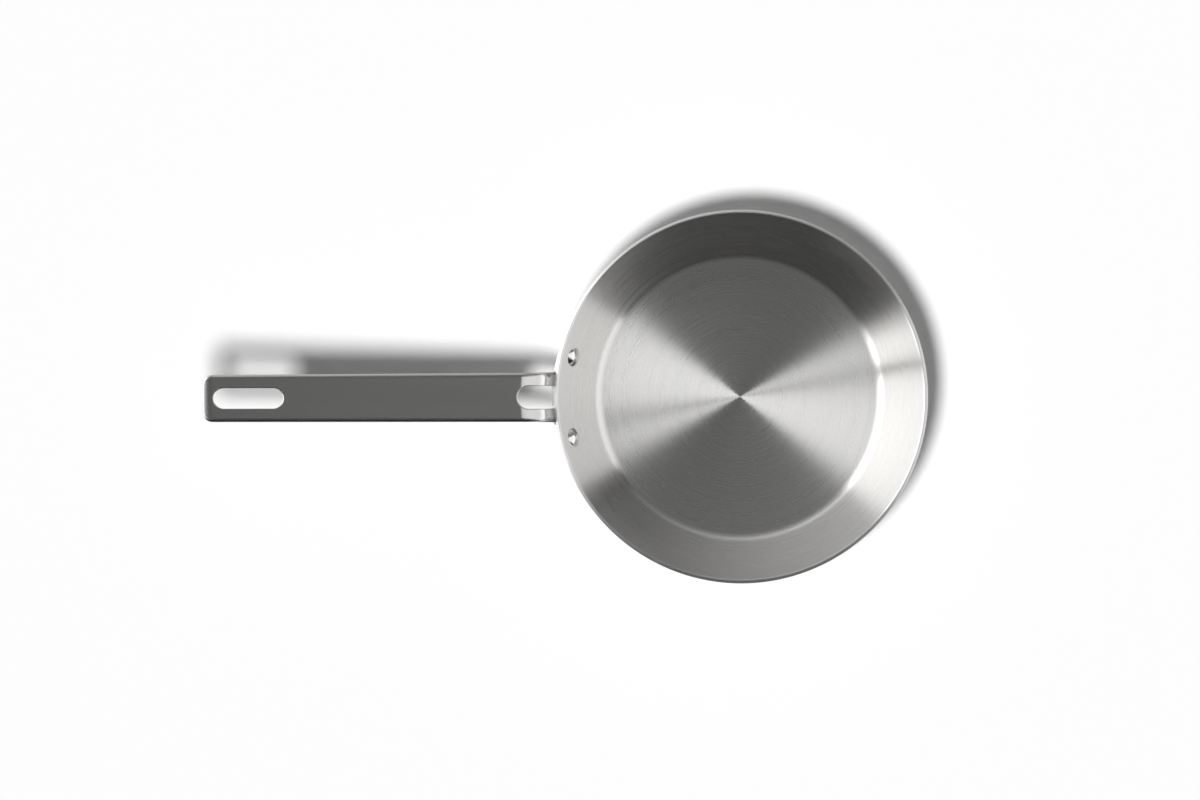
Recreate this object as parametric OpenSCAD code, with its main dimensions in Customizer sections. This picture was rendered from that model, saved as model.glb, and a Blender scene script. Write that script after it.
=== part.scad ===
// Frying pan pressed from three-layer clad sheet, with a bare rounded rim and a one-piece
// strap handle. The strap forks into two prongs, which bend down into a bracket that wraps the
// conical wall and is held by two rivets.
// The pan's axis is Z, its flat underside lies at z = 0 and the handle points along -X.

/* [Pan] */
// Outer diameter of the rim
rim_d = 240; // [200:1:320]
// Height of the rim above the underside
pan_h = 40; // [34:1:56]
// Slope of the wall, in degrees from the horizontal
wall_slope = 55; // [48:1:68]
// Inner radius of the corner between the base and the wall
corner_r = 8; // [4:0.5:12]

/* [Clad sheet] */
// Thickness of the steel skin on the cooking side
inner_skin_t = 0.4; // [0.3:0.05:0.8]
// Thickness of the aluminium core
core_t = 1.8; // [1.2:0.1:3]
// Thickness of the steel skin on the hob side
outer_skin_t = 0.5; // [0.3:0.05:0.8]

/* [Handle] */
// Distance that the handle reaches past the rim, seen from above
handle_reach = 223.8; // [170:0.1:260]
// Thickness of the strap, the prongs and the bracket
strap_t = 3.5; // [2.5:0.1:4.5]
// Width of the strap at the pan
strap_w = 31.6; // [26:0.1:40]
// Width of the strap at its far end
strap_end_w = 30; // [24:0.1:38]
// Rise of the strap, in degrees from the horizontal
strap_slope = 6; // [2:0.5:14]
// Radius of the bend's upper face
bend_r = 29; // [20:0.5:40]
// Length of the prongs above the rim's edge before they bend
prong_rise = 3; // [1:0.1:6]
// Radius of the turned-down tip's upper face
tip_r = 11; // [8:0.1:16]
// Turn of the tip, in degrees
tip_turn = 22; // [14:1:50]
// Radius of the far corners, seen from above
tip_corner_r = 6.5; // [3:0.1:10]

/* [Slot and notch] */
// Length of the hanging slot
slot_l = 44.3; // [30:0.1:70]
// Width of the hanging slot
slot_w = 13; // [8:0.1:18]
// Metal left between the hanging slot and the far end, seen from above
slot_land = 7.3; // [6:0.1:16]
// Width of the notch between the prongs
notch_w = 14.6; // [8:0.1:20]
// Distance of the notch's round end from the rim, seen from above
notch_reach = 23.4; // [16:0.1:40]

/* [Bracket] */
// Distance of the bracket's upper edge below the centre of the rim's edge, down the wall
bracket_drop = 1.3; // [0.5:0.1:4]
// Height of the bracket along the wall
bracket_h = 19.2; // [16:0.1:24]
// Radius of the bracket's upper edge
bracket_arc_r = 120; // [90:1:160]
// Radius of the bracket's rounded ends
bracket_end_r = 6.5; // [5.5:0.1:7.5]

/* [Rivets] */
// Distance between the rivets' centres
rivet_gap = 51.6; // [44:0.1:60]
// Distance of the rivets below the centre of the rim's edge, down the wall
rivet_drop = 12.1; // [10:0.1:14]
// Diameter of the rivets' shanks
rivet_d = 5.5; // [4:0.1:7]
// Diameter of the domed heads inside the pan
head_d = 10.5; // [9:0.1:12]
// Height of the domed heads
head_h = 2.5; // [1.5:0.1:4]
// Diameter of the closed heads on the bracket
tail_d = 9.6; // [8:0.1:12]
// Height of the closed heads
tail_h = 1.6; // [1:0.1:3]
// Gap between a shank and its holes, all round
rivet_gap_all_round = 0.05; // [0:0.01:0.2]

/* [Hidden] */
$fn = 180;
// Distance that every cut runs past the metal
overrun = 1;
// Distance that a line lies inside the arc that it blends into, so that the two cross
lap = 0.002;

// The clad sheet's section, in the half plane of radius and height
sheet_t = inner_skin_t + core_t + outer_skin_t;
wall_up = [cos(wall_slope), sin(wall_slope)];
wall_out = [sin(wall_slope), -cos(wall_slope)];
rim_r = rim_d / 2;
rim_edge_r = sheet_t / 2 + 2 * lap;
rim_c = [rim_r - rim_edge_r, pan_h - rim_edge_r];
corner_mid_r = corner_r + sheet_t / 2;
corner_out_r = corner_r + sheet_t;
wall_l = (rim_c[1] - corner_out_r - corner_mid_r * wall_out[1]) / sin(wall_slope);
corner_c = [rim_c[0] - corner_mid_r * wall_out[0] - wall_l * wall_up[0], corner_out_r];

// The handle's section: the bracket lies on the wall's outer face, and the strap's upper face
// goes on from the face that the bracket turns to the wall
strap_out = [cos(strap_slope), sin(strap_slope)];
strap_under = [sin(strap_slope), -cos(strap_slope)];
seat = wall_at(wall_l, corner_out_r);
bend_start = seat + prong_rise * wall_up;
bend_c = bend_start + bend_r * wall_out;
bend_end = bend_c - bend_r * strap_under;
tip_drop = tip_turn - strap_slope;
tip_run = tip_r * (sin(strap_slope) + sin(tip_drop));
tip_x = rim_r + handle_reach;
strap_l = (tip_x - tip_run - bend_end[0]) / cos(strap_slope);
strap_end = bend_end + strap_l * strap_out;
tip_c = strap_end + tip_r * strap_under;
tip_out = [sin(tip_drop), cos(tip_drop)];

// The strap's outline, seen from above
strap_taper = atan((strap_w - strap_end_w) / 2 / (tip_x - rim_r));
tip_corner_side = side_y(rim_r) * cos(strap_taper) + rim_r * sin(strap_taper) - tip_corner_r;
tip_corner_run = sqrt(pow(tip_x + lap - tip_corner_r, 2) - pow(tip_corner_side, 2));
tip_corner = tip_corner_side * [sin(strap_taper), cos(strap_taper)]
    + tip_corner_run * [cos(strap_taper), -sin(strap_taper)];

// The bracket's outline, in the plane that touches the wall's outer face: x runs down the wall
bracket_low = bracket_drop + bracket_h;
bracket_arc_c = [bracket_drop + bracket_arc_r, 0];
bracket_end_x = bracket_low - bracket_end_r;
bracket_end_y = sqrt(pow(bracket_arc_r - bracket_end_r, 2) - pow(bracket_arc_c[0] - bracket_end_x, 2));
bracket_half_w = bracket_end_y + bracket_end_r;
bracket_wrap = seat[0] - sqrt(pow(seat[0], 2) - pow(bracket_half_w, 2));

// The handle's blank, which is longer and wider than the bracket
blank_low = seat - (bracket_low + bracket_wrap) * wall_up;
blank_a = asin(bracket_half_w / blank_low[0]);
// Plan distance from the pan's axis at which the prongs end inside the bracket
root_x = seat[0] - bracket_h / 2 * cos(wall_slope);

// The rivets' places on the wall's inner face
rivet_seat = wall_at(wall_l - rivet_drop, corner_r);
rivet_turn = asin(rivet_gap / 2 / rivet_seat[0]);
grip = sheet_t + strap_t;

// Point of the section that lies a given way up the wall, at a given radius of the corner
function wall_at(up, r) = corner_c + r * wall_out + up * wall_up;

// Half the strap's width at a given distance from the pan's axis
function side_y(x) = strap_w / 2 - (x - rim_r) * tan(strap_taper);

// Radius of the sphere whose cap has a given base radius and height
function cap_r(r, h) = (r * r + h * h) / (2 * h);

// Everything inside one face of the pan, told by that face's radius at the corner
module inside_face(r) {
    polygon([[0, corner_c[1] - r], [corner_c[0], corner_c[1] - r], corner_c, wall_at(0, r - lap),
        wall_at(wall_l + sheet_t, r - lap), [0, pan_h + sheet_t]]);
    translate(corner_c) circle(r);
}

// Section of the sheet between two depths below the cooking side, rounded at the rim
module sheet_section(depth_a, depth_b) {
    intersection() {
        difference() {
            inside_face(corner_r + depth_b);
            inside_face(corner_r + depth_a);
        }
        union() {
            polygon([[0, -overrun], [rim_r, -overrun], wall_at(wall_l, corner_out_r + overrun),
                wall_at(wall_l, corner_r - overrun), [0, corner_c[1]]]);
            translate(rim_c) circle(rim_edge_r);
        }
    }
}

// One layer of the sheet, turned about the pan's axis and pierced for the rivets
module sheet_layer(depth_a, depth_b) {
    difference() {
        rotate_extrude() sheet_section(depth_a, depth_b);
        rivet_holes();
    }
}

// Moves its child from the rivet's seat to its place: z runs out through the wall
module at_rivet(side) {
    rotate([0, 0, 180 - side * rivet_turn])
        translate([rivet_seat[0], 0, rivet_seat[1]])
            rotate([0, 180 - wall_slope, 0])
                children();
}

// Both rivet holes, through the sheet and the bracket
module rivet_holes() {
    for (side = [-1, 1])
        at_rivet(side)
            translate([0, 0, -overrun])
                cylinder(d = rivet_d + 2 * rivet_gap_all_round, h = grip + 2 * overrun);
}

// Everything under one face of the handle, told by its depth below the upper face
module under_face(depth) {
    low = blank_low - overrun * wall_up;
    polygon([low + (depth + lap) * wall_out, bend_start + (depth + lap) * wall_out, bend_c,
        bend_end + (depth + lap) * strap_under, strap_end + (depth + lap) * strap_under, tip_c,
        [tip_c[0], bend_c[1] - bend_r], low + bend_r * wall_out]);
    translate(bend_c) circle(bend_r - depth);
    translate(tip_c) circle(tip_r - depth);
}

// Section of the handle, from the lower end of the bracket's blank to the tip
module handle_section() {
    inside = blank_low - strap_t * wall_out;
    intersection() {
        difference() {
            under_face(0);
            under_face(strap_t);
        }
        polygon([inside, inside + [0, tip_c[1]], tip_c + 2 * tip_r * tip_out, tip_c,
            blank_low + 2 * strap_t * wall_out]);
    }
}

// The section turned about the pan's axis, so that bracket and prongs follow the wall and rim
module handle_blank() {
    rotate([0, 0, -blank_a])
        rotate_extrude(angle = 2 * blank_a) handle_section();
}

// Outline of the strap and its prongs from above, with the far corners rounded
module strap_outline() {
    side_out = [sin(strap_taper), cos(strap_taper)];
    side = [[root_x, side_y(root_x) - lap], tip_corner + (tip_corner_r - lap) * side_out, tip_corner,
        tip_corner * (tip_x + overrun) / norm(tip_corner)];
    other_side = [for (i = [len(side) - 1:-1:0]) [side[i][0], -side[i][1]]];
    polygon(concat(side, other_side));
    for (y = [-tip_corner[1], tip_corner[1]])
        translate([tip_corner[0], y]) circle(tip_corner_r);
}

// Notch between the prongs, from its round end to the bracket
module notch_outline() {
    notch_x = rim_r + notch_reach - notch_w / 2;
    translate([notch_x, 0]) circle(notch_w / 2);
    translate([root_x - overrun, -notch_w / 2]) square([notch_x - root_x + overrun, notch_w]);
}

// Hanging slot, cut square to the strap
module slot_cut() {
    far = (tip_x - slot_land - bend_end[0]) / cos(strap_slope);
    near = far - slot_l;
    translate([bend_end[0], 0, bend_end[1]])
        rotate([0, -strap_slope, 0])
            translate([0, 0, -strap_t - overrun])
                linear_extrude(strap_t + 2 * overrun) {
                    for (x = [near + slot_w / 2, far - slot_w / 2])
                        translate([x, 0]) circle(slot_w / 2);
                    translate([near + slot_w / 2, -slot_w / 2]) square([slot_l - slot_w, slot_w]);
                }
}

// Outline of the bracket: an upper edge that drops away from the rim, and rounded ends
module bracket_outline() {
    end_c = [bracket_end_x, bracket_end_y];
    to_end = (end_c - bracket_arc_c) / norm(end_c - bracket_arc_c);
    tangent = bracket_arc_c + bracket_arc_r * to_end;
    side = [[-overrun, tangent[1]], tangent, end_c, [bracket_low - lap, bracket_end_y]];
    other_side = [for (i = [len(side) - 1:-1:0]) [side[i][0], -side[i][1]]];
    intersection() {
        translate(bracket_arc_c) circle(bracket_arc_r - lap);
        polygon(concat(side, other_side));
    }
    for (y = [-bracket_end_y, bracket_end_y])
        translate([bracket_end_x, y]) circle(bracket_end_r);
}

// Strap and prongs: the blank trimmed to their outline from above
module strap() {
    difference() {
        intersection() {
            handle_blank();
            linear_extrude(tip_c[1] + 2 * tip_r)
                difference() {
                    strap_outline();
                    notch_outline();
                }
        }
        slot_cut();
    }
}

// Bracket: the blank trimmed square to the wall
module bracket() {
    intersection() {
        handle_blank();
        translate([seat[0], 0, seat[1]])
            rotate([0, 180 - wall_slope, 0])
                translate([0, 0, -bracket_wrap])
                    linear_extrude(bracket_wrap + strap_t + overrun) bracket_outline();
    }
}

// Domed cap on the plane z = 0, below it
module cap(d, h) {
    r = cap_r(d / 2, h);
    intersection() {
        translate([0, 0, r - h]) sphere(r);
        translate([0, 0, -h]) cylinder(d = d + overrun, h = h);
    }
}

// Cap with a straight foot that runs on past the plane z = 0, so that its seat can be trimmed
module seated_cap(d, h, foot) {
    cap(d, h);
    cylinder(d = d, h = foot);
}

// Rivet: a domed head seated on the pan's inner face, a shank, and a closed head on the bracket
module rivet(side) {
    difference() {
        at_rivet(side) cap(head_d, head_h);
        rotate_extrude() sheet_section(0, sheet_t);
    }
    at_rivet(side)
        translate([0, 0, -head_h / 2]) cylinder(d = rivet_d, h = grip + head_h / 2 + tail_h / 2);
    difference() {
        at_rivet(side)
            translate([0, 0, grip]) mirror([0, 0, 1]) seated_cap(tail_d, tail_h, strap_t / 2);
        rotate([0, 0, 180]) handle_blank();
    }
}

module inner_skin() {
    color("gainsboro") sheet_layer(0, inner_skin_t);
}

module core() {
    color("lightsteelblue") sheet_layer(inner_skin_t, inner_skin_t + core_t);
}

module outer_skin() {
    color("silver") sheet_layer(inner_skin_t + core_t, sheet_t);
}

module handle() {
    color("darkgray")
        difference() {
            rotate([0, 0, 180]) {
                strap();
                bracket();
            }
            rivet_holes();
        }
}

module rivet_left() {
    color("whitesmoke") rivet(1);
}

module rivet_right() {
    color("whitesmoke") rivet(-1);
}

inner_skin();
core();
outer_skin();
handle();
rivet_left();
rivet_right();
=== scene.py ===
import math
from typing import NamedTuple

import bpy
import numpy as np
from bpy.props import FloatProperty, FloatVectorProperty, PointerProperty
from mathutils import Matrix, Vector, geometry


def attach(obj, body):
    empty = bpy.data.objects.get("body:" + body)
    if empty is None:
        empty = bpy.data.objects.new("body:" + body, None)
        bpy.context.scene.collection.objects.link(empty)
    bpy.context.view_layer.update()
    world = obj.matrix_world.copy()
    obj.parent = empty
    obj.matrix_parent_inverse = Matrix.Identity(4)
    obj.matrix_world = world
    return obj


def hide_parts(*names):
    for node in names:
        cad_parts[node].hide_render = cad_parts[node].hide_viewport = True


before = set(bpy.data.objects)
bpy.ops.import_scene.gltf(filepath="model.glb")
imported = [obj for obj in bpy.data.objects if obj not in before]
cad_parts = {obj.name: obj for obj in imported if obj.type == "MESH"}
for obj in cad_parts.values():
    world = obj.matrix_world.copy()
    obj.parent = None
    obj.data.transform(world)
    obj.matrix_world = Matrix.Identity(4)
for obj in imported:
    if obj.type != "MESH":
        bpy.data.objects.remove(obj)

bl_info = {
    "name": "Frying Pan Dressing",
    "version": (1, 0, 0),
    "blender": (4, 5, 0),
    "location": "3D View > Sidebar > Frying Pan",
    "description": "Dresses the packed frying pan: clad sheet, strap handle, rivets and a soft studio",
    "category": "Object",
}

MM = 0.001
ROOT = "root"
CAD_LAP = 0.002 * MM  # the CAD source's lap between forms that join

# Facets round the pan and steps along its section
PAN_ROUND = 720
BASE_STEPS, CORNER_STEPS, WALL_STEPS, RIM_STEPS = 14, 28, 6, 14

# Steps of the handle
TABLE_STEPS = 40000  # rows of the table that tells the section's point from its radius
TABLE_REACH = 1.4  # how far down the table starts, as a share of the bracket's depth
CURVE_POINTS = 400  # points on a curve of the flat outline
FILLET_POINTS = 40  # points on a fillet of the fork
SIDE_ROUNDS = 4  # rounds that settle where the strap's straight side lies
SAME_POINT = 1e-7  # least distance between two points of an outline, in metres
EDGE_STEP = 0.3 * MM  # distance between points along a cut edge
LEAST_POINTS = 16  # least number of them on a loop
EASE_ROWS = 9  # rows of points across an eased edge
EASE_POWER = 1.3  # power with which an eased edge's turn grows across its width
FILL_STEP = 2 * MM  # distance between points inside the faces
FILL_HALF = 48 * MM  # how far to each side those points are tried
FILL_GAP = 0.45 * MM  # their least distance from a cut edge
FILL_PARTS = 20  # parts in which that distance is found, to save memory
FILL_MERGE = 1e-6  # distance within which the triangulation joins points, in millimetres
BEND_STEPS, STRAP_STEPS, TIP_STEPS = 25, 40, 11

RAMP = np.linspace(0, 1, CURVE_POINTS)

# Facets round a rivet and steps along its two domes
RIVET_ROUND, HEAD_STEPS, TAIL_STEPS = 96, 18, 14

FLOOR_HALF = 30.0  # half the floor's width, in metres
SENSOR_W = 36.0  # camera's sensor, in millimetres
VIEW_RANGE = (0.1, 100.0)  # distances between which the camera sees, in metres


def length(name, default, description):
    """A size in metres, given in millimetres."""
    return FloatProperty(name=name, default=default * MM, description=description,
                         unit="LENGTH", subtype="DISTANCE", precision=5, min=0.0)


def angle(name, default, description):
    """An angle in radians, given in degrees."""
    return FloatProperty(name=name, default=math.radians(default), description=description,
                         unit="ROTATION", subtype="ANGLE")


def amount(name, default, description):
    return FloatProperty(name=name, default=default, description=description, min=0.0)


def coordinate(name, default, description):
    return FloatProperty(name=name, default=default, description=description, unit="LENGTH")


def share(name, default, description):
    return FloatProperty(name=name, default=default, description=description,
                         min=0.0, max=1.0, subtype="FACTOR")


def tint(name, default, description):
    return FloatVectorProperty(name=name, default=default, description=description,
                               subtype="COLOR", size=3, min=0.0, max=1.0)


class SheetSizes(bpy.types.PropertyGroup):
    """Sizes of the clad sheet that the pan is pressed from."""
    rim_d: length("Rim", 240, "Outer diameter of the rim")
    height: length("Height", 40, "Height of the rim above the underside")
    slope: angle("Wall slope", 55, "Slope of the wall from the horizontal")
    corner_r: length("Corner", 8, "Inner radius between the base and the wall")
    inner_t: length("Inner skin", 0.4, "Thickness of the steel skin on the cooking side")
    core_t: length("Core", 1.8, "Thickness of the aluminium core")
    outer_t: length("Outer skin", 0.5, "Thickness of the steel skin on the hob side")
    rim_in_r: length("Inner rim corner", 1.2, "Radius of the rim's corner on the cooking side")
    rim_out_r: length("Outer rim corner", 0.35, "Radius of the rim's corner on the hob side")


class HandleSizes(bpy.types.PropertyGroup):
    """Sizes of the one-piece strap handle."""
    reach: length("Reach", 223.8, "Distance that the handle reaches past the rim")
    strap_t: length("Thickness", 3.5, "Thickness of the strap, the prongs and the bracket")
    strap_w: length("Width", 31.6, "Width of the strap at the pan")
    end_w: length("End width", 30, "Width of the strap at its far end")
    slope: angle("Slope", 6, "Rise of the strap from the horizontal")
    bend_r: length("Bend", 29, "Radius of the bend's upper face")
    prong_rise: length("Prong rise", 3, "Length of the prongs above the seat before they bend")
    tip_r: length("Tip", 26.0, "Radius of the turned-down tip's upper face")
    tip_turn: angle("Tip turn", 15, "Turn of the tip")
    corner_r: length("Far corners", 6.5, "Radius of the far corners")
    slot_l: length("Slot length", 44.3, "Length of the hanging slot")
    slot_w: length("Slot width", 13, "Width of the hanging slot")
    slot_land: length("Slot land", 7.3, "Metal between the slot and the far end")
    notch_w: length("Notch width", 14.6, "Width of the notch between the prongs")
    notch_reach: length("Notch reach", 23.4, "Distance of the notch's round end from the rim")
    bracket_drop: length("Bracket drop", 1.3, "Distance of the bracket below the rim's edge")
    bracket_h: length("Bracket height", 19.2, "Height of the bracket along the wall")
    bracket_arc_r: length("Bracket arc", 120, "Radius of the bracket's upper edge")
    bracket_end_r: length("Bracket ends", 6.5, "Radius of the bracket's rounded ends")
    fork_r: length("Fork corners", 2.0, "Radius in the corners between the prongs and the bracket")
    edge_w: length("Edge", 3.4, "Width of the eased outer edges on the upper face")
    end_edge_w: length("End edge", 1.3, "Width of the eased edge at the far end")
    end_ease_l: length("End easing", 9.0, "Length over which the edge widens towards the far end")
    hole_edge_w: length("Hole edge", 0.7, "Width of the eased edges of the slot and the notch")
    lower_edge_w: length("Lower edge", 1.4, "Width of the eased edges on the lower face")
    edge_turn: angle("Edge turn", 45, "Turn of the eased edges, before the cut side")


class RivetSizes(bpy.types.PropertyGroup):
    """Sizes and places of the rivets."""
    gap: length("Gap", 51.6, "Distance between the rivets' centres")
    drop: length("Drop", 12.1, "Distance of the rivets below the rim's edge")
    shank_d: length("Shank", 5.5, "Diameter of the shanks")
    head_d: length("Head", 12.0, "Diameter of the domed heads inside the pan")
    head_h: length("Head height", 2.5, "Height of the domed heads")
    tail_d: length("Closed head", 9.6, "Diameter of the closed heads on the bracket")
    tail_h: length("Closed head height", 1.6, "Height of the closed heads")


class Finishes(bpy.types.PropertyGroup):
    """Colours of the metals."""
    steel: tint("Steel", (0.66, 0.655, 0.645), "Colour of the spun steel skins")
    strap: tint("Strap", (0.55, 0.545, 0.535), "Colour of the brushed strap")
    rivet: tint("Rivet", (0.70, 0.695, 0.685), "Colour of the polished rivets")
    core: tint("Core", (0.56, 0.56, 0.565), "Colour of the aluminium core")


class StudioSettings(bpy.types.PropertyGroup):
    """Floor, lamps and camera."""
    floor: share("Floor", 0.8, "Lightness of the floor")
    key: amount("Key", 2.73, "Light of the key lamp on the floor")
    key_r: length("Key radius", 300, "Radius of the key lamp")
    key_place: FloatVectorProperty(name="Key place", default=(-0.475, -0.54, 2.1), subtype="XYZ",
                                   description="Place of the key lamp")
    fill: amount("Fill", 0.38, "Strength of the light from all round")
    box: amount("Softboxes", 1.0, "Strength of the softboxes")
    camera_height: length("Camera height", 4000, "Height of the camera above the rim")
    camera_x: coordinate("Camera X", -0.0906, "Camera's place along the handle")
    camera_y: coordinate("Camera Y", -0.00185, "Camera's place across the handle")
    camera_roll: angle("Camera roll", -0.21, "Turn of the camera about its own axis")
    view_w: length("View width", 770.04, "Width that the picture takes in at the rim")


GROUPS = {
    "pan_sheet": SheetSizes,
    "pan_handle": HandleSizes,
    "pan_rivets": RivetSizes,
    "pan_finishes": Finishes,
    "pan_studio": StudioSettings,
}


# Finishes

class Brushing(NamedTuple):
    """How a metal is brushed."""
    roughness: float
    spread: float  # anisotropy, with the gloss spread square to the scratches
    streak_l: float  # length of a streak: metres, or tenths of a radian on a spun metal
    streak_w: float
    groove_d: float  # height of the grooves
    unevenness: float  # change of the roughness from streak to streak
    spun: bool  # brushed in circles about the pan's axis, or else lengthwise


SPUN_STEEL = Brushing(0.28, 1.0, 2.0, 0.8 * MM, 0.006 * MM, 0.1, True)
CUT_ALUMINIUM = Brushing(0.4, 0.5, 0.2, 0.9 * MM, 0.004 * MM, 0.1, True)
BRUSHED_STRAP = Brushing(0.18, 1.0, 0.08, 0.9 * MM, 0.012 * MM, 0.12, False)
RIVET_ROUGHNESS = (0.16, 0.24)
RIVET_SPOTS = 900.0  # spots of changing roughness on a rivet, per metre
SPOT_EDGES = (0.3, 0.7)  # levels of their noise between which the roughness changes

GRAIN = "Brushed grain"
STREAK_SHARE = 0.65  # share of the fine streaks in the unevenness; the rest is broad
BROAD_SCALE = (0.6, 0.15, 0.6)  # broad streaks across one fine streak
GROOVE_SCALE = 4.0  # grooves across one streak
TONE_SHARE = 0.1  # change of the colour, as a share of the change of the roughness
TURN_SCALE = 10.0  # radius that a spun metal's streaks are told at, in metres
AXIS_R = 0.1 * MM  # radius inside which their turn isn't told any more
SIDE_SHARE = 0.3  # share of the height in the place across a strap, for its cut sides


class Box(NamedTuple):
    """A softbox of the world, told in degrees. Its sides are turns about Z, from -X for a west box and
    from +X for the others, and its rises are elevations. Both say where its light starts, is whole,
    stops being whole and ends."""
    west: bool
    sides: tuple
    rises: tuple
    strength: float
    fade: tuple = None  # two turns and the shares of the strength at them


WEST_SIDES, EAST_SIDES = (-43.5, -38.5, 20.0, 33.0), (-34.0, -32.0, 28.0, 30.0)
BOXES = (
    Box(True, WEST_SIDES, (-2.0, 14.0, 62.5, 89.0), 2.75),
    Box(True, WEST_SIDES, (4.0, 12.0, 26.0, 34.0), 0.3),
    Box(False, EAST_SIDES, (8.0, 10.0, 72.5, 75.5), 1.25),
    Box(False, EAST_SIDES, (-1.0, 9.0, 14.0, 26.0), 0.6),
    Box(False, (36.0, 40.0, 137.0, 141.0), (0.0, 7.0, 34.0, 50.0), 0.96, (20.0, 139.0, 0.15, 1.4)),
    Box(False, EAST_SIDES, (75.0, 77.0, 79.5, 82.0), 0.13),
)
SEAM_TURN = math.radians(10.6)  # dark gap between the two halves of the west boxes
SEAM_EDGES = (-0.048, -0.03, 0.03, 0.048)  # distances from its middle where it starts and ends
SEAM_FLARE = 0.4  # its width on the horizon, as a share of that overhead
ROOM = (30.0, 72.0, 0.01, 0.17)  # two rises and the light of the bare room at them
HORIZON = (4.4, 3.9)  # rises between which the pale horizon starts, going down
HORIZON_ENDS = (0.35, 0.6)  # nearness to the handle's axis between which it starts


# Shapes

def columns(*parts):
    """Array whose last axis goes through the parts, which are brought to one shape."""
    return np.stack(np.broadcast_arrays(*parts), axis=-1)


def turned(vectors_rz, azimuth):
    """(radius, height) pairs turned about Z: (r cos a, r sin a, z)."""
    r, z = vectors_rz[..., 0], vectors_rz[..., 1]
    return columns(r * np.cos(azimuth), r * np.sin(azimuth), z)


def build_mesh(name, points, faces, corner_normals):
    """Mesh from points (n, 3), faces as a list of (m, k) index arrays and a normal for each corner."""
    mesh = bpy.data.meshes.new(name)
    mesh.vertices.add(len(points))
    mesh.vertices.foreach_set("co", np.ascontiguousarray(points, np.float32).ravel())
    corners = np.concatenate([f.ravel() for f in faces]).astype(np.int32)
    sides = np.concatenate([np.full(len(f), f.shape[1]) for f in faces])
    mesh.loops.add(len(corners))
    mesh.loops.foreach_set("vertex_index", corners)
    mesh.polygons.add(len(sides))
    mesh.polygons.foreach_set("loop_start", (np.cumsum(sides) - sides).astype(np.int32))
    mesh.update(calc_edges=True)
    mesh.polygons.foreach_set("use_smooth", np.ones(len(sides), bool))
    normals = np.concatenate([n.reshape(-1, 3) for n in corner_normals])
    normals = normals / np.linalg.norm(normals, axis=1, keepdims=True)
    mesh.normals_split_custom_set(normals.tolist())
    return mesh


def add_piece(mesh, material, slot, *nodes):
    """A finished piece: one object at the origin that rides on the pan and stands for its CAD nodes."""
    piece = bpy.data.objects.new(mesh.name, mesh)
    bpy.context.scene.collection.objects.link(piece)
    mesh.materials.append(material)
    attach(piece, ROOT)
    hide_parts(*nodes)
    return piece


def chain(stretches):
    """Joins stretches of a profile, each (points, normals), into its points and the normals at both
    ends of each step, so that a corner between two stretches stays sharp."""
    points = np.concatenate([stretches[0][0][:1]] + [p[1:] for p, _ in stretches])
    before = np.concatenate([n[:-1] for _, n in stretches])
    after = np.concatenate([n[1:] for _, n in stretches])
    return points, before, after


def line(start, end, normal, steps):
    t = np.linspace(0, 1, steps + 1)[:, None]
    return start + (end - start) * t, np.tile(normal, (steps + 1, 1))


def arc(centre, radius, a0, a1, side, steps):
    """Arc from angle a0 to a1; its normals point away from the centre where side is 1."""
    a = np.linspace(a0, a1, steps + 1)
    ray = columns(np.cos(a), np.sin(a))
    return centre + radius * ray, side * ray


def lathe_parts(profile, around):
    """Points, faces and corner normals of a solid of revolution: the profile's points (r, z) are turned
    about Z in equal steps. The first and the last lie on the axis and end the solid in fans."""
    points, before, after = profile
    a = np.arange(around) * (2 * math.pi / around)
    b = a + 2 * math.pi / around
    middle = (a + b) / 2
    body = turned(points[1:-1, None, :], a).reshape(-1, 3)
    ends = turned(points[[0, -1]], np.zeros(2))
    co = np.concatenate([ends[:1], body, ends[1:]])

    j = np.arange(around)
    k = (j + 1) % around
    row = 1 + np.arange(len(points) - 3)[:, None] * around
    last_row = 1 + (len(points) - 3) * around
    first = columns(0, 1 + j, 1 + k)
    quads = columns(row + j, row + around + j, row + around + k, row + k).reshape(-1, 4)
    last = columns(last_row + j, len(co) - 1, last_row + k)

    start, end = before[1:-1, None, :], after[1:-1, None, :]
    first_n = np.stack([turned(before[0], middle), turned(after[0], a), turned(after[0], b)], axis=1)
    quad_n = np.stack([turned(start, a), turned(end, a), turned(end, b), turned(start, b)], axis=2)
    last_n = np.stack([turned(before[-1], a), turned(after[-1], middle), turned(before[-1], b)], axis=1)
    return co, [first, quads, last], [first_n, quad_n.reshape(-1, 4, 3), last_n]


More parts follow.
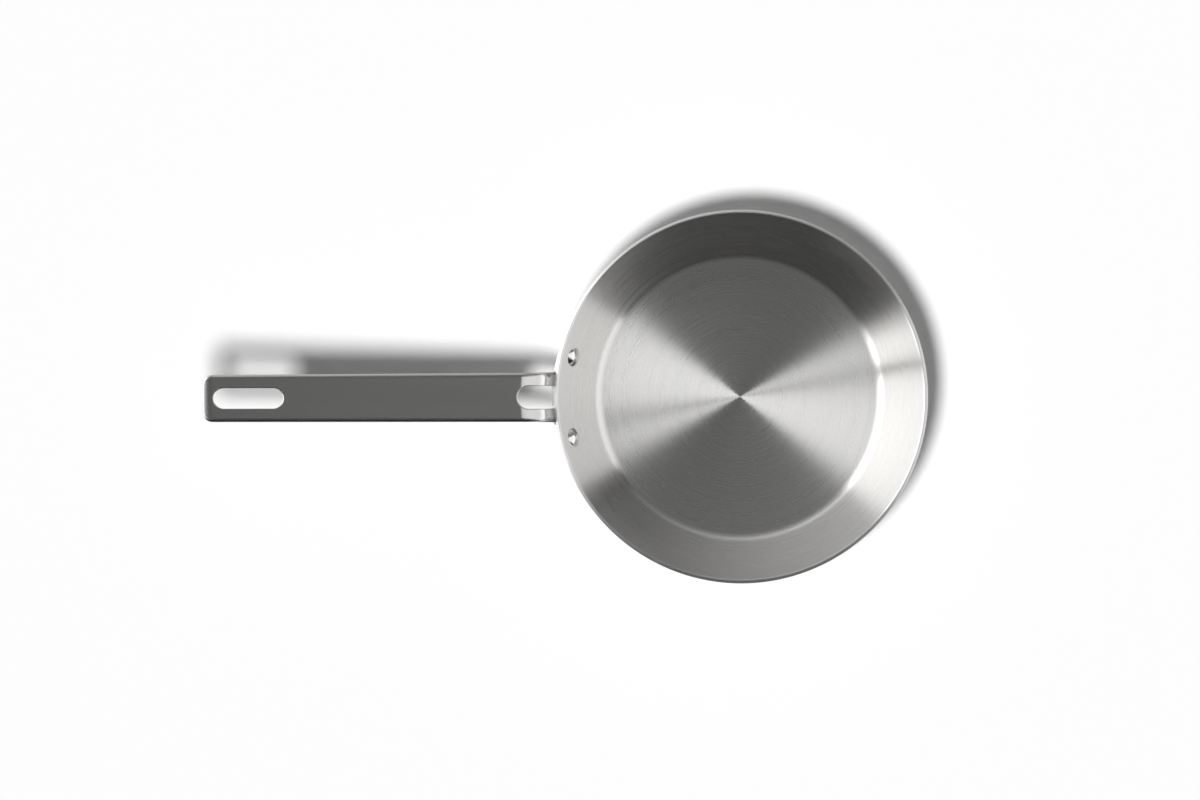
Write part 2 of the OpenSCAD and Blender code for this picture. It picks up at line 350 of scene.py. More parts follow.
class SheetForm:
    """Section of the pressed sheet in the half plane of radius and height, as the CAD source has it."""

    def __init__(self, sizes):
        self.t = sizes.inner_t + sizes.core_t + sizes.outer_t
        s, c = math.sin(sizes.slope), math.cos(sizes.slope)
        self.slope = sizes.slope
        self.up = np.array([c, s])
        self.out = np.array([s, -c])
        self.corner_r = sizes.corner_r
        self.rim_r = sizes.rim_d / 2
        edge_r = self.t / 2 + 2 * CAD_LAP
        rim_c = np.array([self.rim_r - edge_r, sizes.height - edge_r])
        mid_r = self.corner_r + self.t / 2
        out_r = self.corner_r + self.t
        self.wall_l = (rim_c[1] - out_r + mid_r * c) / s
        self.corner_c = np.array([rim_c[0] - mid_r * s - self.wall_l * c, out_r])
        self.rim_in_r, self.rim_out_r = sizes.rim_in_r, sizes.rim_out_r
        # The cut reaches as far out and as high as the rim's diameter and the height allow
        outward = self.corner_r + self.t - self.rim_out_r
        inward = self.corner_r + self.rim_in_r
        reach = (self.rim_r - self.rim_out_r - self.corner_c[0] - outward * s) / c + self.rim_out_r
        rise = (sizes.height - self.rim_in_r - self.corner_c[1] + inward * c) / s + self.rim_in_r
        self.cut = min(reach, rise)
        self.ease = (1 - np.cos(np.linspace(0, math.pi, RIM_STEPS + 1))) / 2

    def wall(self, up, r):
        return self.corner_c + r * self.out + up * self.up

    def to_cone(self, r, y):
        """How far the wall's cone lies from a plane that touches it, along a line square to that plane
        which starts at the radius r and the distance y from the middle plane."""
        s, c = self.out[0], self.up[0]
        k = (s * s - c * c) / (s * s)
        return (-r / s + np.sqrt((r / s) ** 2 - k * y * y)) / k

    def rim(self, depth):
        """Points and normals of the cut rim at depths below the cooking side: a quarter circle, a
        straight square to the sheet and a quarter circle."""
        a, b = self.rim_in_r, self.rim_out_r
        lean = np.clip((depth - a) / a, -1, 0) + np.clip((depth - self.t + b) / b, 0, 1)
        upright = np.sqrt(1 - lean ** 2)
        fall = np.where(lean < 0, a, b) * (1 - upright)
        foot = self.wall(0, self.corner_r)
        point = foot + depth[:, None] * self.out + (self.cut - fall)[:, None] * self.up
        return point, lean[:, None] * self.out + upright[:, None] * self.up

    def face(self, depth, side):
        """Base, corner and wall at a depth below the cooking side, from the axis to the rim."""
        r = self.corner_r + depth
        low = self.corner_c[1] - r
        lean = self.slope - math.pi / 2
        middle, foot = np.array([0.0, low]), np.array([self.corner_c[0], low])
        top = self.rim(np.array([depth]))[0][0]
        base = line(middle, foot, [0.0, -side], BASE_STEPS)
        bend = arc(self.corner_c, r, -math.pi / 2, lean, side, CORNER_STEPS)
        wall = line(self.wall(0, r), top, side * self.out, WALL_STEPS)
        return [base, bend, wall]

    def layer(self, a, b):
        """Closed profile of the layer between two depths, with its share of the rim."""
        back = [(p[::-1], n[::-1]) for p, n in self.face(b, 1.0)[::-1]]
        return chain(self.face(a, -1.0) + [self.rim(a + (b - a) * self.ease)] + back)


class HandleForm:
    """The strap's form: a section that runs up the wall, bends, runs out along the strap and turns
    down at the tip, turned about the pan's axis. u is the way along the section's upper face from the
    seat, y the distance from the middle plane, and depth goes into the metal."""

    def __init__(self, sizes, sheet):
        self.s, self.sheet = sizes, sheet
        self.seat = sheet.wall(sheet.wall_l, sheet.corner_r + sheet.t)
        self.tip_x = sheet.rim_r + sizes.reach
        bend_start = self.seat + sizes.prong_rise * sheet.up
        self.bend_turn = sheet.slope - sizes.slope
        cs, sn = math.cos(sizes.slope), math.sin(sizes.slope)
        under = np.array([sn, -cs])
        bend_c = bend_start + sizes.bend_r * sheet.out
        self.bend_end = bend_c - sizes.bend_r * under
        run = sizes.tip_r * (sn + math.sin(sizes.tip_turn - sizes.slope))
        strap_l = (self.tip_x - run - self.bend_end[0]) / cs
        strap_end = self.bend_end + strap_l * np.array([cs, sn])
        tip_c = strap_end + sizes.tip_r * under
        self.centres = bend_c, tip_c
        u1 = sizes.prong_rise
        u2 = u1 + sizes.bend_r * self.bend_turn
        u3 = u2 + strap_l
        u4 = u3 + sizes.tip_r * sizes.tip_turn
        self.knots = np.array([u1, u2, u3, u4])
        self.taper = math.atan((sizes.strap_w - sizes.end_w) / 2 / (self.tip_x - sheet.rim_r))
        self.arc_c = sizes.bracket_drop + sizes.bracket_arc_r
        low = -(sizes.bracket_drop + sizes.bracket_h) * TABLE_REACH
        self.table_u = np.linspace(low, u4, TABLE_STEPS)
        self.table_r = self.radius(self.table_u)

    def path(self, u):
        """Points (r, z), tangents and outward normals of the upper face at u: straight, arc, straight,
        arc, told by the section's heading."""
        s = self.s
        u1, u2, u3, _ = self.knots
        heading = (self.sheet.slope - np.clip((u - u1) / s.bend_r, 0, self.bend_turn)
                   - np.clip((u - u3) / s.tip_r, 0, s.tip_turn))
        tangent = columns(np.cos(heading), np.sin(heading))
        normal = columns(-np.sin(heading), np.cos(heading))
        bend, tip = (centre + r * normal for centre, r in zip(self.centres, (s.bend_r, s.tip_r)))
        u = u[:, None]
        wall = self.seat + u * self.sheet.up
        strap = self.bend_end + (u - u2) * np.array([math.cos(s.slope), math.sin(s.slope)])
        point = np.where(u < u1, wall, np.where(u < u2, bend, np.where(u < u3, strap, tip)))
        return point, tangent, normal

    def radius(self, u):
        return self.path(u)[0][:, 0]

    def at_radius(self, r):
        return np.interp(r, self.table_r, self.table_u)

    def side_y(self, x):
        return self.s.strap_w / 2 - (x - self.sheet.rim_r) * math.tan(self.taper)

    def from_above(self, x, y):
        """(u, y) of points told by their plan distances."""
        return columns(self.at_radius(np.hypot(x, y)), y)

    def on_wall(self, down, y):
        """(u, y) of points told in the plane that touches the wall: where the line square to that
        plane meets the wall's cone."""
        s, c = self.sheet.out[0], self.sheet.up[0]
        a = self.seat[0] - down * c
        r = np.hypot(a + self.sheet.to_cone(a, y) * s, y)
        return columns((r - self.seat[0]) / c, y)

    def bracket_arc(self, v):
        """(u, y) of the bracket's upper edge at the angles v about its centre."""
        r = self.s.bracket_arc_r
        return self.on_wall(self.arc_c - r * np.cos(v), r * np.sin(v))

    def circle_above(self, x, y, r, v):
        """(u, y) at the angles v on a circle that is told in plan."""
        return self.from_above(x + r * np.cos(v), y + r * np.sin(v))

    def flat(self, uy):
        """(u, w) of points on the flattened sheet, with w along the turn about the pan's axis."""
        r = self.radius(uy[:, 0])
        return columns(uy[:, 0], r * np.arcsin(np.clip(uy[:, 1] / r, -1, 1)))

    def form(self, u, turn, depth):
        """Point of the solid: the section's point at u, moved into the metal and turned."""
        point, tangent, normal = self.path(u)
        azimuth = math.pi - turn
        return (turned(point - depth[:, None] * normal, azimuth), turned(tangent, azimuth),
                columns(np.sin(turn), np.cos(turn), 0), turned(normal, azimuth))

    def outline(self):
        """Outer outline and the two holes as loops of (u, y)."""
        return [self.outer_loop(), self.notch_loop(), self.slot_loop()]

    def outer_loop(self):
        """Lines and arcs in sequence, from the bracket's lower edge to the round far end."""
        s, sheet = self.s, self.sheet
        # Lower edge and the bracket's end, from straight down to where it touches the upper edge
        low = s.bracket_drop + s.bracket_h
        end_x = low - s.bracket_end_r
        end_y = math.sqrt((s.bracket_arc_r - s.bracket_end_r) ** 2 - (self.arc_c - end_x) ** 2)
        end_turn = math.atan2(end_y, self.arc_c - end_x)
        lower = self.on_wall(low, RAMP * end_y)
        v = RAMP * (math.pi - end_turn)
        end = self.on_wall(end_x + s.bracket_end_r * np.cos(v), end_y + s.bracket_end_r * np.sin(v))
        # Upper edge up to the prong's fillet
        half = self.side_y(sheet.rim_r)
        meet, fillet = self.fork_corner(half, 1.0)
        upper = self.bracket_arc(end_turn + RAMP * (meet - end_turn))
        # Far corner, which touches the side's line and the round end
        sin, cos = math.sin(self.taper), math.cos(self.taper)
        off = half * cos + sheet.rim_r * sin - s.corner_r
        run = math.sqrt((self.tip_x - s.corner_r) ** 2 - off ** 2)
        x, y = off * sin + run * cos, off * cos - run * sin
        start, far_turn = math.pi / 2 - self.taper, math.atan2(y, x)
        corner = self.circle_above(x, y, s.corner_r, start - RAMP * (start - far_turn))
        # Side, which is straight in plan
        u = np.linspace(fillet[-1, 0], corner[0, 0], 3 * CURVE_POINTS)
        y = half
        for _ in range(SIDE_ROUNDS):
            y = self.side_y(np.sqrt(self.radius(u) ** 2 - y ** 2))
        side = columns(u, y)
        last = self.circle_above(0.0, 0.0, self.tip_x, far_turn * (1 - RAMP))
        return mirrored(lower, end, upper, fillet, side, corner, last)

    def notch_loop(self):
        """Notch between the prongs, whose floor is the bracket's upper edge."""
        s = self.s
        r = s.notch_w / 2
        x = self.sheet.rim_r + s.notch_reach - r
        meet, fillet = self.fork_corner(r, -1.0)
        floor = self.bracket_arc((1 - RAMP) * meet)[::-1]
        top = self.circle_above(x, 0.0, r, math.pi / 2 * (1 - RAMP))
        u = np.linspace(fillet[-1, 0], top[0, 0], CURVE_POINTS)
        side = columns(u, r)
        return mirrored(floor, fillet, side, top)

    def slot_loop(self):
        """Hanging slot with its two round ends."""
        s = self.s
        far_u = self.knots[1] + (self.tip_x - s.slot_land - self.bend_end[0]) / math.cos(s.slope)
        r = s.slot_w / 2
        v = np.linspace(-math.pi / 2, math.pi / 2, CURVE_POINTS)
        cap = columns(far_u - r + r * np.cos(v), r * np.sin(v))
        return np.concatenate([cap, [2 * far_u - s.slot_l, 0] - cap])

    def fork_corner(self, y_line, side):
        """Fillet between a prong's edge at y_line and the bracket's upper edge, outside the metal: its
        centre is one radius beyond each. side is 1 outside the prongs and -1 in the notch. Gives the
        angle at which it leaves the upper edge, and its points."""
        f, big = self.s.fork_r, self.s.bracket_arc_r
        y = y_line + side * f
        x = self.arc_c - math.sqrt((big + f) ** 2 - y ** 2)
        meet = math.asin(y / (big + f))
        v = np.linspace(meet, side * math.pi / 2, FILLET_POINTS)
        return meet, self.on_wall(x + f * np.cos(v), y - f * np.sin(v))


def mirrored(*parts):
    """Closed loop from the parts of its half on the side of positive y."""
    half = np.concatenate(parts)
    return np.concatenate([half, half[::-1] * [1, -1]])


def resample(loop, metric, step):
    """Closed loop of (u, y) at even distances, measured by the metric's positions."""
    loop = np.concatenate([loop, loop[:1]])
    keep = np.concatenate([[True], np.linalg.norm(np.diff(loop, axis=0), axis=1) > SAME_POINT])
    loop = loop[keep]
    run = np.concatenate([[0], np.cumsum(np.linalg.norm(np.diff(metric(loop), axis=0), axis=1))])
    count = max(LEAST_POINTS, int(round(run[-1] / step)))
    at = np.arange(count) * run[-1] / count
    return columns(np.interp(at, run, loop[:, 0]), np.interp(at, run, loop[:, 1]))


def inside(points, loops):
    """Even-odd test of points against closed loops, all at once."""
    crossings = np.zeros(len(points), int)
    for loop in loops:
        a, b = loop, np.roll(loop, -1, axis=0)
        y = points[:, 1:2]
        spans = (a[:, 1] > y) != (b[:, 1] > y)
        with np.errstate(divide="ignore", invalid="ignore"):
            x = a[:, 0] + (y - a[:, 1]) * (b[:, 0] - a[:, 0]) / (b[:, 1] - a[:, 1])
        crossings += (spans & (points[:, :1] < x)).sum(axis=1)
    return crossings % 2 == 1


def fill(form, rims):
    """Fills the flat sheet between the rims: points inside the metal, closer together where the section
    is curved, and the triangles that join the rims' points and these."""
    u1, u2, u3, u4 = form.knots
    lowest = rims[0][:, 0].min()
    u_lines = np.concatenate([np.arange(lowest, u1, FILL_STEP),
                              np.linspace(u1, u2, BEND_STEPS + 1)[:-1],
                              np.linspace(u2, u3, STRAP_STEPS + 1)[:-1],
                              np.linspace(u3, u4, TIP_STEPS + 1)])
    w_lines = np.arange(-FILL_HALF, FILL_HALF + FILL_STEP / 2, FILL_STEP)
    grid = np.stack(np.meshgrid(u_lines, w_lines, indexing="ij"), axis=-1).reshape(-1, 2)
    grid = grid[inside(grid, rims)]
    edge = np.concatenate(rims)
    near = np.concatenate([((part[:, None] - edge) ** 2).sum(axis=-1).min(axis=1)
                           for part in np.array_split(grid, FILL_PARTS)])
    grid = grid[near > FILL_GAP ** 2]
    points = np.concatenate([edge, grid]) / MM
    sides, at = [], 0
    for rim in rims:
        j = np.arange(len(rim))
        sides.append(columns(at + j, at + (j + 1) % len(rim)))
        at += len(rim)
    found = geometry.delaunay_2d_cdt([Vector(p) for p in points.tolist()],
                                     np.concatenate(sides).tolist(), [], 0, FILL_MERGE)
    if len(found[0]) != len(points):
        raise RuntimeError(f"the handle's fill has {len(found[0])} points, not {len(points)}")
    order = np.array([o[0] for o in found[3]])
    tri = order[np.array(found[2])]
    tri = tri[inside(points[tri].mean(axis=1) * MM, rims)]
    p = points[tri]
    a, b = p[:, 1] - p[:, 0], p[:, 2] - p[:, 0]
    wrong = a[:, 0] * b[:, 1] - a[:, 1] * b[:, 0] < 0
    tri[wrong] = tri[wrong][:, ::-1]
    return grid, tri


def strap_mesh(form):
    """The handle as a bent sheet: its flat outline is filled with triangles, formed on both faces, and
    joined round every cut edge by an eased edge, which turns down more and more to the cut side."""
    s, t = form.s, form.s.strap_t
    ramp = np.linspace(0, 1, EASE_ROWS)
    q = s.edge_turn * ramp ** EASE_POWER
    sunk = np.concatenate([[0], np.cumsum((np.tan(q[1:]) + np.tan(q[:-1])) / 2 * np.diff(ramp))])
    lift = np.concatenate([np.cos(q), [0, 0], -np.cos(q[::-1])])
    outward = np.concatenate([np.sin(q), [1, 1], np.sin(q[::-1])])
    rows = len(lift)

    co, faces, normals, rims, base = [], [], [], [], 0
    for number, loop in enumerate(form.outline()):
        uw = form.flat(resample(loop, form.flat, EDGE_STEP))
        area = np.sum(uw[:, 0] * np.roll(uw[:, 1], -1) - np.roll(uw[:, 0], -1) * uw[:, 1])
        if (area > 0) != (number == 0):  # the metal has to be on the loop's left
            uw = uw[::-1]
        step = np.roll(uw, -1, axis=0) - np.roll(uw, 1, axis=0)
        step /= np.linalg.norm(step, axis=1, keepdims=True)
        m_u, m_w = -step[:, 1], step[:, 0]
        r = form.radius(uw[:, 0])
        turn = uw[:, 1] / r
        count = len(uw)
        upper, lower = np.full(count, s.hole_edge_w), np.full(count, s.hole_edge_w)
        if number == 0:
            near_end = np.clip((uw[:, 0] - form.knots[3]) / s.end_ease_l + 1, 0, 1)
            upper = s.edge_w + (s.end_edge_w - s.edge_w) * near_end ** 2 * (3 - 2 * near_end)
            lower = np.full(count, s.lower_edge_w)
        inward = np.concatenate([np.outer(1 - ramp, upper), np.zeros((2, count)),
                                 np.outer(1 - ramp[::-1], lower)])
        sides = np.stack([sunk[-1] * upper, t - sunk[-1] * lower])
        depth = np.concatenate([np.outer(sunk, upper), sides, t - np.outer(sunk[::-1], lower)])
        for row in range(rows):
            u = uw[:, 0] + inward[row] * m_u
            a = turn + inward[row] * m_w / r
            point, e_u, e_w, n = form.form(u, a, depth[row])
            out = -(m_u[:, None] * e_u + m_w[:, None] * e_w)
            co.append(point)
            normals.append(lift[row] * n + outward[row] * out)
            if row == 0:
                rims.append(columns(u, form.radius(u) * a))
        i = np.arange(rows - 1)[:, None] * count + base
        j = np.arange(count)
        k = (j + 1) % count
        faces.append(columns(i + j, i + k, i + count + k, i + count + j).reshape(-1, 4))
        base += rows * count

    # Both faces: the rims' points have numbers already, and those inside get new ones
    grid, tri = fill(form, rims)
    counts = [len(rim) for rim in rims]
    starts = np.cumsum([0] + [count * rows for count in counts[:-1]])
    top_rims = [start + np.arange(count) for start, count in zip(starts, counts)]
    low_rims = [rim + (rows - 1) * len(rim) for rim in top_rims]
    new = base + np.arange(len(grid))
    top_ids = np.concatenate([*top_rims, new])
    low_ids = np.concatenate([*low_rims, new + len(grid)])
    turn = grid[:, 1] / form.radius(grid[:, 0])
    top, _, _, n = form.form(grid[:, 0], turn, np.zeros(len(grid)))
    low, _, _, _ = form.form(grid[:, 0], turn, np.full(len(grid), t))
    point_normals = np.concatenate([*normals, n, -n])
    faces += [top_ids[tri[:, ::-1]], low_ids[tri]]
    return build_mesh("strap_handle", np.concatenate([*co, top, low]), faces,
                      [point_normals[f] for f in faces])


def dome(d, h, steps):
    """Points and normals of a spherical cap's section, from its top to its foot."""
    big = (d * d / 4 + h * h) / (2 * h)
    v = np.linspace(0, math.asin(d / 2 / big), steps + 1)
    ray = columns(np.sin(v), np.cos(v))
    return big * ray - [0, big - h], ray


def rivet_mesh(name, sizes, sheet, grip, side):
    """A clenched rivet: its profile is turned about its own axis, which is square to the wall, and the
    rings that lie on the sheet or the bracket are moved along that axis onto their cones."""
    head, head_n = dome(sizes.head_d, sizes.head_h, HEAD_STEPS)
    tail, tail_n = dome(sizes.tail_d, sizes.tail_h, TAIL_STEPS)
    head, head_n = head * [1, -1], head_n * [1, -1]
    tail, tail_n = tail[::-1] + [0, grip], tail_n[::-1]
    r = sizes.shank_d / 2
    shank_in, shank_out = np.array([r, 0.0]), np.array([r, grip])
    profile = chain([(head, head_n), line(head[-1], shank_in, [0.0, 1.0], 1),
                     line(shank_in, shank_out, [1.0, 0.0], 1),
                     line(shank_out, tail[0], [0.0, -1.0], 1), (tail, tail_n)])
    local, faces, normals = lathe_parts(profile, RIVET_ROUND)

    # Local axes: x runs down the wall, y across it, z out through it
    seat = sheet.wall(sheet.wall_l - sizes.drop, sheet.corner_r)
    middle = math.pi - side * math.asin(sizes.gap / 2 / seat[0])
    across = np.array([-math.sin(middle), math.cos(middle), 0])
    basis = np.array([turned(-sheet.up, middle), across, turned(sheet.out, middle)])
    for row in range(HEAD_STEPS, HEAD_STEPS + 4):  # the rings on the two seats
        ring = slice(1 + (row - 1) * RIVET_ROUND, 1 + row * RIVET_ROUND)
        x, y, z = local[ring].T
        local[ring, 2] += sheet.to_cone(seat[0] + z * sheet.out[0] - x * sheet.up[0], y)
    return build_mesh(name, local @ basis + turned(seat, middle), [f[:, ::-1] for f in faces],
                      [n[:, ::-1] @ basis for n in normals])


# Materials

def node_group(name, inputs, outputs):
    """Empty shader node group with the named sockets."""
    group = bpy.data.node_groups.new(name, "ShaderNodeTree")
    for label, kind, value in inputs:
        socket = group.interface.new_socket(label, in_out="INPUT", socket_type=kind)
        if value is not None:
            socket.default_value = value
    for label, kind in outputs:
        group.interface.new_socket(label, in_out="OUTPUT", socket_type=kind)
    return group, group.nodes.new("NodeGroupInput"), group.nodes.new("NodeGroupOutput")


class Wiring:
    """Adds nodes to a tree in single calls."""

    def __init__(self, tree):
        self.tree = tree

    def node(self, kind, **settings):
        made = self.tree.nodes.new(kind)
        for key, value in settings.items():
            setattr(made, key, value)
        return made

    def put(self, socket, value):
        if isinstance(value, bpy.types.NodeSocket):
            self.tree.links.new(value, socket)
        else:
            socket.default_value = value

    def wire(self, node, inputs):
        """Sets or links the node's inputs, told by label or number."""
        for label, value in inputs.items():
            self.put(node.inputs[label], value)
        return node

    def math(self, operation, *values):
        made = self.node("ShaderNodeMath", operation=operation)
        return self.wire(made, dict(enumerate(values))).outputs[0]

    def times(self, product, *values):
        for value in values:
            product = self.math("MULTIPLY", product, value)
        return product

    def vector(self, operation, *values):
        made = self.node("ShaderNodeVectorMath", operation=operation)
        return self.wire(made, dict(enumerate(values))).outputs[0]

    def split(self, value):
        return self.wire(self.node("ShaderNodeSeparateXYZ"), {0: value}).outputs

    def join(self, x, y, z):
        return self.wire(self.node("ShaderNodeCombineXYZ"), {0: x, 1: y, 2: z}).outputs[0]

    def noise(self, place, scale, detail, roughness):
        made = self.wire(self.node("ShaderNodeTexNoise"), {
            "Vector": place, "Scale": scale, "Detail": detail, "Roughness": roughness})
        return made.outputs["Fac"]

    def smooth(self, value, low, high, to_low=0.0, to_high=1.0):
        made = self.node("ShaderNodeMapRange", interpolation_type="SMOOTHSTEP")
        self.wire(made, {"Value": value, "From Min": low, "From Max": high, "To Min": to_low,
                         "To Max": to_high})
        return made.outputs["Result"]


def grain_group():
    """Fine parallel scratches of a brushed metal. Grain is a place in metres whose first number runs
    along the scratches and whose second runs across them."""
    group, start, end = node_group(
        GRAIN,
        [("Grain", "NodeSocketVector", None), ("Streak length", "NodeSocketFloat", 0.03),
         ("Streak width", "NodeSocketFloat", 0.001), ("Roughness", "NodeSocketFloat", 0.3),
         ("Unevenness", "NodeSocketFloat", 0.05)],
        [("Roughness", "NodeSocketFloat"), ("Height", "NodeSocketFloat"), ("Tone", "NodeSocketFloat")])
    w = Wiring(group)
    along, across, third = w.split(start.outputs["Grain"])
    place = w.join(w.math("DIVIDE", along, start.outputs["Streak length"]),
                   w.math("DIVIDE", across, start.outputs["Streak width"]),
                   w.math("DIVIDE", third, start.outputs["Streak length"]))
    streaks = w.noise(place, 1.0, 2.0, 0.6)
    broad = w.noise(w.vector("MULTIPLY", place, BROAD_SCALE), 1.0, 1.0, 0.5)
    grooves = w.noise(w.vector("MULTIPLY", place, (0.0, GROOVE_SCALE, 0.0)), 1.0, 0.0, 0.5)
    both = w.math("ADD", w.times(streaks, STREAK_SHARE), w.times(broad, 1 - STREAK_SHARE))
    change = w.times(w.math("SUBTRACT", both, 0.5), start.outputs["Unevenness"])
    w.wire(end, {"Roughness": w.math("ADD", start.outputs["Roughness"], change), "Height": grooves,
                 "Tone": w.math("ADD", 1.0, w.times(change, TONE_SHARE))})
    return group


def new_material(name):
    material = bpy.data.materials.new(name)
    material.use_nodes = True
    tree = material.node_tree
    return material, Wiring(tree), tree.nodes["Principled BSDF"]


def brushed_metal(name, colour, brushing):
    """Metal brushed in circles about the pan's axis or lengthwise. The gloss spreads square to the
    scratches, so the tangent is the surface's normal crossed with them."""
    material, w, shader = new_material(name)
    at = w.node("ShaderNodeTexCoord").outputs["Object"]
    normal = w.node("ShaderNodeNewGeometry").outputs["Normal"]
    x, y, z = w.split(at)
    if brushing.spun:
        along = w.vector("CROSS_PRODUCT", (0.0, 0.0, 1.0), at)
        radius = w.math("SQRT", w.math("ADD", w.times(x, x), w.times(y, y)))
        far = w.times(w.math("MAXIMUM", radius, AXIS_R), TURN_SCALE)
        place = w.join(w.math("DIVIDE", x, far), w.math("ADD", radius, z), w.math("DIVIDE", y, far))
    else:
        along = (1.0, 0.0, 0.0)
        place = w.join(x, w.math("ADD", y, w.times(z, SIDE_SHARE)), z)
    grain = w.node("ShaderNodeGroup", node_tree=bpy.data.node_groups.get(GRAIN) or grain_group())
    w.wire(grain, {"Grain": place, "Streak length": brushing.streak_l, "Streak width": brushing.streak_w,
                   "Roughness": brushing.roughness, "Unevenness": brushing.unevenness})
    bump = w.node("ShaderNodeBump")
    w.wire(bump, {"Height": grain.outputs["Height"], "Strength": 1.0, "Distance": brushing.groove_d})
    tone = w.node("ShaderNodeMix", data_type="RGBA", blend_type="MULTIPLY")
    w.wire(tone, {"Factor": 1.0, "A": (*colour, 1.0), "B": w.join(*[grain.outputs["Tone"]] * 3)})
    w.wire(shader, {"Base Color": tone.outputs["Result"], "Roughness": grain.outputs["Roughness"],
                    "Normal": bump.outputs["Normal"], "Metallic": 1.0, "Anisotropic": brushing.spread,
                    "Tangent": w.vector("CROSS_PRODUCT", normal, along)})
    return material


def polished_metal(name, colour):
    """Smooth metal whose gloss changes a little from spot to spot."""
    material, w, shader = new_material(name)
    spots = w.noise(w.node("ShaderNodeTexCoord").outputs["Object"], RIVET_SPOTS, 3.0, 0.6)
    w.wire(shader, {"Base Color": (*colour, 1.0), "Metallic": 1.0,
                    "Roughness": w.smooth(spots, *SPOT_EDGES, *RIVET_ROUGHNESS)})
    return material


# Operators

class OBJECT_OT_pan_sheet(bpy.types.Operator):
    """Make the three layers of the clad sheet"""
    bl_idname = "object.pan_sheet"
    bl_label = "Clad Sheet"

    def execute(self, context):
        sizes, finish = context.scene.pan_sheet, context.scene.pan_finishes
        sheet = SheetForm(sizes)
        steel = brushed_metal("Spun steel", finish.steel, SPUN_STEEL)
        core = brushed_metal("Aluminium edge", finish.core, CUT_ALUMINIUM)
        a, b = sizes.inner_t, sizes.inner_t + sizes.core_t
        for name, low, high, metal, node in (("inner_sheet", 0.0, a, steel, "inner_skin"),
                                             ("core_sheet", a, b, core, "core"),
                                             ("outer_sheet", b, sheet.t, steel, "outer_skin")):
            mesh = build_mesh(name, *lathe_parts(sheet.layer(low, high), PAN_ROUND))
            add_piece(mesh, metal, node, node)
        return {"FINISHED"}


class OBJECT_OT_pan_handle(bpy.types.Operator):
    """Make the strap handle with its fork and bracket"""
    bl_idname = "object.pan_handle"
    bl_label = "Strap Handle"

    def execute(self, context):
        scene = context.scene
        form = HandleForm(scene.pan_handle, SheetForm(scene.pan_sheet))
        metal = brushed_metal("Brushed strap", scene.pan_finishes.strap, BRUSHED_STRAP)
        add_piece(strap_mesh(form), metal, "handle", "handle")
        return {"FINISHED"}


class OBJECT_OT_pan_rivets(bpy.types.Operator):
    """Make the two clenched rivets"""
    bl_idname = "object.pan_rivets"
    bl_label = "Rivets"

    def execute(self, context):
        scene = context.scene
        sheet = SheetForm(scene.pan_sheet)
        grip = sheet.t + scene.pan_handle.strap_t
        material = polished_metal("Polished rivet", scene.pan_finishes.rivet)
        for name, side in (("rivet_left", 1), ("rivet_right", -1)):
            mesh = rivet_mesh(name + "_piece", scene.pan_rivets, sheet, grip, side)
            add_piece(mesh, material, name, name)
        return {"FINISHED"}


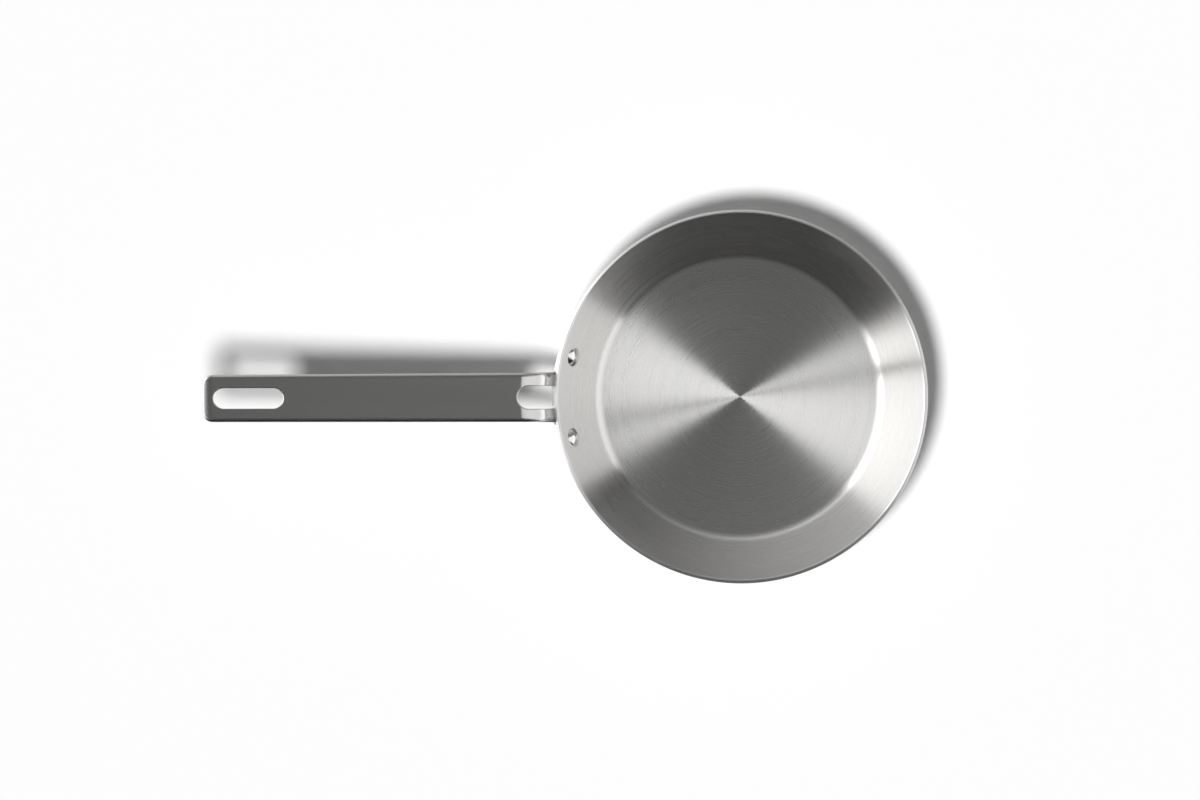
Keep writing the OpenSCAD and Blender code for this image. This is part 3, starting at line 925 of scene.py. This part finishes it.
class OBJECT_OT_pan_stage(bpy.types.Operator):
    """Set up the floor, the lamps, the world and the camera"""
    bl_idname = "object.pan_stage"
    bl_label = "Studio"

    def execute(self, context):
        scene, studio = context.scene, context.scene.pan_studio
        for part in (self.floor, self.lamps, self.world, self.camera):
            part(scene, studio)
        scene.view_settings.view_transform = "Standard"
        return {"FINISHED"}

    def floor(self, scene, studio):
        """Floor that looks white, and whose lightness counts for the light that it throws back."""
        mesh = bpy.data.meshes.new("floor")
        corners = [(x * FLOOR_HALF, y * FLOOR_HALF, 0) for x, y in ((-1, -1), (1, -1), (1, 1), (-1, 1))]
        mesh.from_pydata(corners, [], [(0, 1, 2, 3)])
        floor = bpy.data.objects.new("floor", mesh)
        scene.collection.objects.link(floor)
        material, w, _ = new_material("White floor")
        path = w.node("ShaderNodeLightPath").outputs
        seen = w.math("MAXIMUM", w.math("MAXIMUM", path["Is Camera Ray"], path["Is Glossy Ray"]),
                      path["Is Transmission Ray"])
        plain, bright = w.node("ShaderNodeBsdfDiffuse"), w.node("ShaderNodeBsdfDiffuse")
        w.wire(plain, {"Color": (studio.floor, studio.floor, studio.floor, 1.0)})
        w.wire(bright, {"Color": (1.0, 1.0, 1.0, 1.0)})
        mix = w.wire(w.node("ShaderNodeMixShader"), {0: seen, 1: plain.outputs[0], 2: bright.outputs[0]})
        w.wire(w.tree.nodes["Material Output"], {"Surface": mix.outputs[0]})
        mesh.materials.append(material)

    def lamps(self, scene, studio):
        """Lamps for the floor and its shadows: a round one overhead and a faint one from all round.
        The metal reflects the studio of the world instead."""
        lamp = bpy.data.lights.new("key", "POINT")
        lamp.shadow_soft_size = studio.key_r
        lamp.energy = 4 * math.pi * studio.key
        lamp.use_nodes = True
        w = Wiring(lamp.node_tree)
        falloff = w.node("ShaderNodeLightFalloff")
        w.wire(falloff, {"Strength": 1.0})
        far = w.math("DIVIDE", w.node("ShaderNodeLightPath").outputs["Ray Length"], studio.key_place[2])
        w.wire(lamp.node_tree.nodes["Emission"], {"Strength": w.times(falloff.outputs["Constant"], far)})
        self.hang(scene, lamp, studio.key_place)
        sky = bpy.data.lights.new("fill", "SUN")
        sky.energy, sky.angle = studio.fill, math.pi
        self.hang(scene, sky, (0.0, 0.0, 1.0))

    def hang(self, scene, lamp, place):
        made = bpy.data.objects.new(lamp.name, lamp)
        made.location = place
        made.visible_glossy = False
        scene.collection.objects.link(made)

    def world(self, scene, studio):
        """Studio round the pan, told by direction: softboxes to the left, to the right and behind, a
        dim room elsewhere, and a pale horizon at both ends of the handle's axis."""
        world = bpy.data.worlds.new("studio")
        world.use_nodes = True
        scene.world = world
        w = Wiring(world.node_tree)
        x, y, z = w.split(w.node("ShaderNodeTexCoord").outputs["Generated"])

        def degrees(value):
            return w.times(value, 180 / math.pi)

        def band(value, edges):
            """1 between the two middle edges, falling to 0 at the outer ones."""
            return w.times(w.smooth(value, edges[0], edges[1]), w.smooth(value, edges[3], edges[2]))

        rise = degrees(w.math("ARCSINE", z))
        from_east = degrees(w.math("ARCTAN2", y, x))
        from_west = degrees(w.math("ARCTAN2", w.times(y, -1.0), w.times(x, -1.0)))
        aside = w.math("SUBTRACT", w.times(y, math.cos(SEAM_TURN)), w.times(x, math.sin(SEAM_TURN)))
        width = w.math("ADD", SEAM_FLARE, w.times(z, 1 - SEAM_FLARE))
        seam = w.math("SUBTRACT", 1.0, band(w.math("DIVIDE", aside, width), SEAM_EDGES))
        level = w.smooth(rise, *ROOM)
        for box in BOXES:
            turn = from_west if box.west else from_east
            glow = w.times(band(turn, box.sides), band(rise, box.rises), studio.box * box.strength)
            if box.west:
                glow = w.times(glow, seam)
            if box.fade:
                glow = w.times(glow, w.smooth(turn, *box.fade))
            level = w.math("ADD", level, glow)
        ends = w.smooth(w.math("ABSOLUTE", x), *HORIZON_ENDS)
        level = w.math("MAXIMUM", level, w.times(ends, w.smooth(rise, *HORIZON)))
        light = w.join(level, level, level)
        w.wire(world.node_tree.nodes["Background"], {"Color": light, "Strength": 1.0})
        world.cycles_visibility.diffuse = False

    def camera(self, scene, studio):
        lens = bpy.data.cameras.new("camera")
        lens.sensor_width = SENSOR_W
        lens.lens = lens.sensor_width * studio.camera_height / studio.view_w
        lens.clip_start, lens.clip_end = VIEW_RANGE
        camera = bpy.data.objects.new("camera", lens)
        height = scene.pan_sheet.height + studio.camera_height
        camera.location = (studio.camera_x, studio.camera_y, height)
        camera.rotation_euler = (0.0, 0.0, studio.camera_roll)
        scene.collection.objects.link(camera)
        scene.camera = camera


class VIEW3D_PT_pan(bpy.types.Panel):
    """Lists the operators that dress the pan"""
    bl_label = "Frying Pan"
    bl_space_type = "VIEW_3D"
    bl_region_type = "UI"
    bl_category = "Frying Pan"

    def draw(self, context):
        for operator in OPERATORS:
            self.layout.operator(operator.bl_idname)


OPERATORS = (OBJECT_OT_pan_sheet, OBJECT_OT_pan_handle, OBJECT_OT_pan_rivets, OBJECT_OT_pan_stage)


def register():
    for cls in (*GROUPS.values(), *OPERATORS, VIEW3D_PT_pan):
        bpy.utils.register_class(cls)
    for name, cls in GROUPS.items():
        setattr(bpy.types.Scene, name, PointerProperty(type=cls))


def unregister():
    for name in GROUPS:
        delattr(bpy.types.Scene, name)
    for cls in (VIEW3D_PT_pan, *OPERATORS[::-1], *list(GROUPS.values())[::-1]):
        bpy.utils.unregister_class(cls)


def main():
    register()
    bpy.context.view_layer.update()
    bpy.ops.object.pan_sheet()
    bpy.ops.object.pan_handle()
    bpy.ops.object.pan_rivets()
    bpy.ops.object.pan_stage()


if __name__ == "__main__":
    main()
